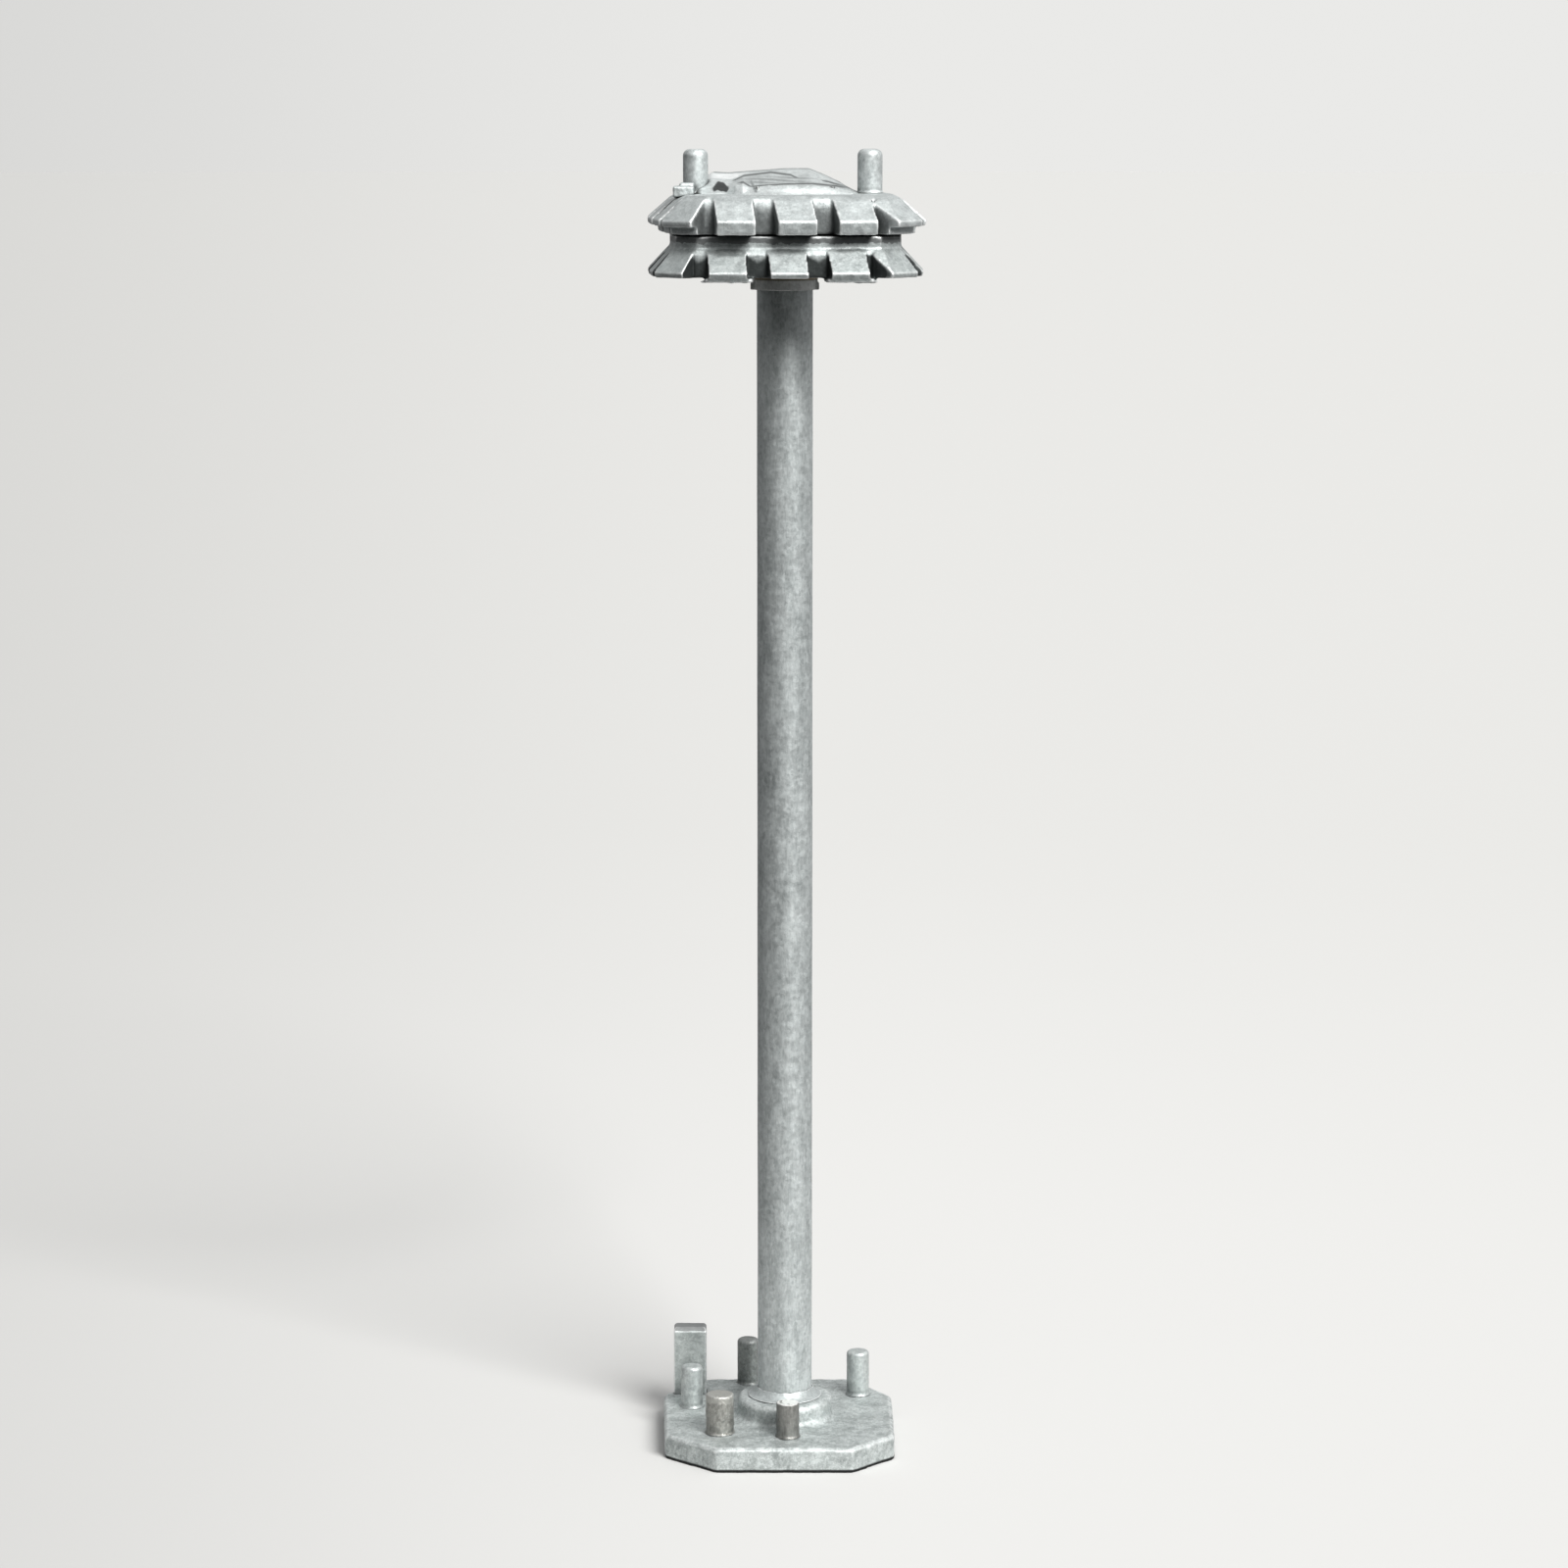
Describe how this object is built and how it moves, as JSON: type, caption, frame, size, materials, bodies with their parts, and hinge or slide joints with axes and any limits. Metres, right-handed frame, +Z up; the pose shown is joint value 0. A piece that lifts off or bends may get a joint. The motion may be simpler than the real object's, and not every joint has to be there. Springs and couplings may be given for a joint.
{
  "type": "signpost",
  "caption": "Free-standing galvanised post: studded octagonal base plate, round tube, and a head of turning toothed rings under a cast crown with upright pins.",
  "frame": {"origin": "on the tube's axis at the underside of the base plate", "axes": "+Z up along the tube, -Y towards the front, +X to the right seen from the front"},
  "size_m": [0.2976, 0.2976, 1.4235],
  "materials": {
    "cast_plate": "hot-dip galvanised casting, soft mottled spangle",
    "weld_zinc": "galvanised weld, smooth and slightly bright",
    "zinc_stud": "galvanised round bar",
    "worn_stud": "galvanised bar worn to brownish steel, uneven top",
    "bare_stud": "bare turned bar with a bright flat top",
    "zinc_tab": "galvanised flat bar",
    "tube_zinc": "hot-dip galvanised tube, fine mottled spangle",
    "turned_steel": "turned steel",
    "fastener_steel": "zinc plated fastener",
    "dark_collar": "dark weathered steel",
    "bearing_brass": "turned brass",
    "cast_ring_lower": "sand-cast, mottled grey",
    "cast_ring_upper": "sand-cast, mottled grey",
    "cast_crown": "smooth flowing casting, satin",
    "zinc_pin": "galvanised turned pin"
  },
  "bodies": {
    "post": {"base_plate": "cast_plate", "foot_weld": "weld_zinc", "base_stud_rear_right": "zinc_stud", "base_stud_rear_left": "zinc_stud", "base_stud_left": "zinc_stud", "base_stud_front_left": "worn_stud", "base_stud_front_centre": "bare_stud", "locating_tab": "zinc_tab", "post_tube": "tube_zinc", "top_plug": "turned_steel", "plug_cross_pin": "turned_steel", "clamp_washer": "fastener_steel", "clamp_nut": "fastener_steel", "head_collar": "dark_collar", "collar_set_screws": "fastener_steel", "thrust_washer": "bearing_brass"},
    "lower_head": {"lower_ring": "cast_ring_lower", "lower_bush": "bearing_brass", "spacer_washer": "bearing_brass"},
    "upper_head": {"upper_ring": "cast_ring_upper", "upper_bush": "bearing_brass", "crown": "cast_crown", "crown_screws": "fastener_steel", "head_pin_left": "zinc_pin", "head_pin_right": "zinc_pin", "step_block": "cast_crown"}
  },
  "joints": [
    {"name": "lower_ring_turn", "type": "hinge", "parent": "post", "child": "lower_head", "pos_m": [0, 0, 1.31], "axis": [0, 0, 1], "continuous": true},
    {"name": "upper_ring_turn", "type": "hinge", "parent": "post", "child": "upper_head", "pos_m": [0, 0, 1.35], "axis": [0, 0, 1], "continuous": true}
  ]
}
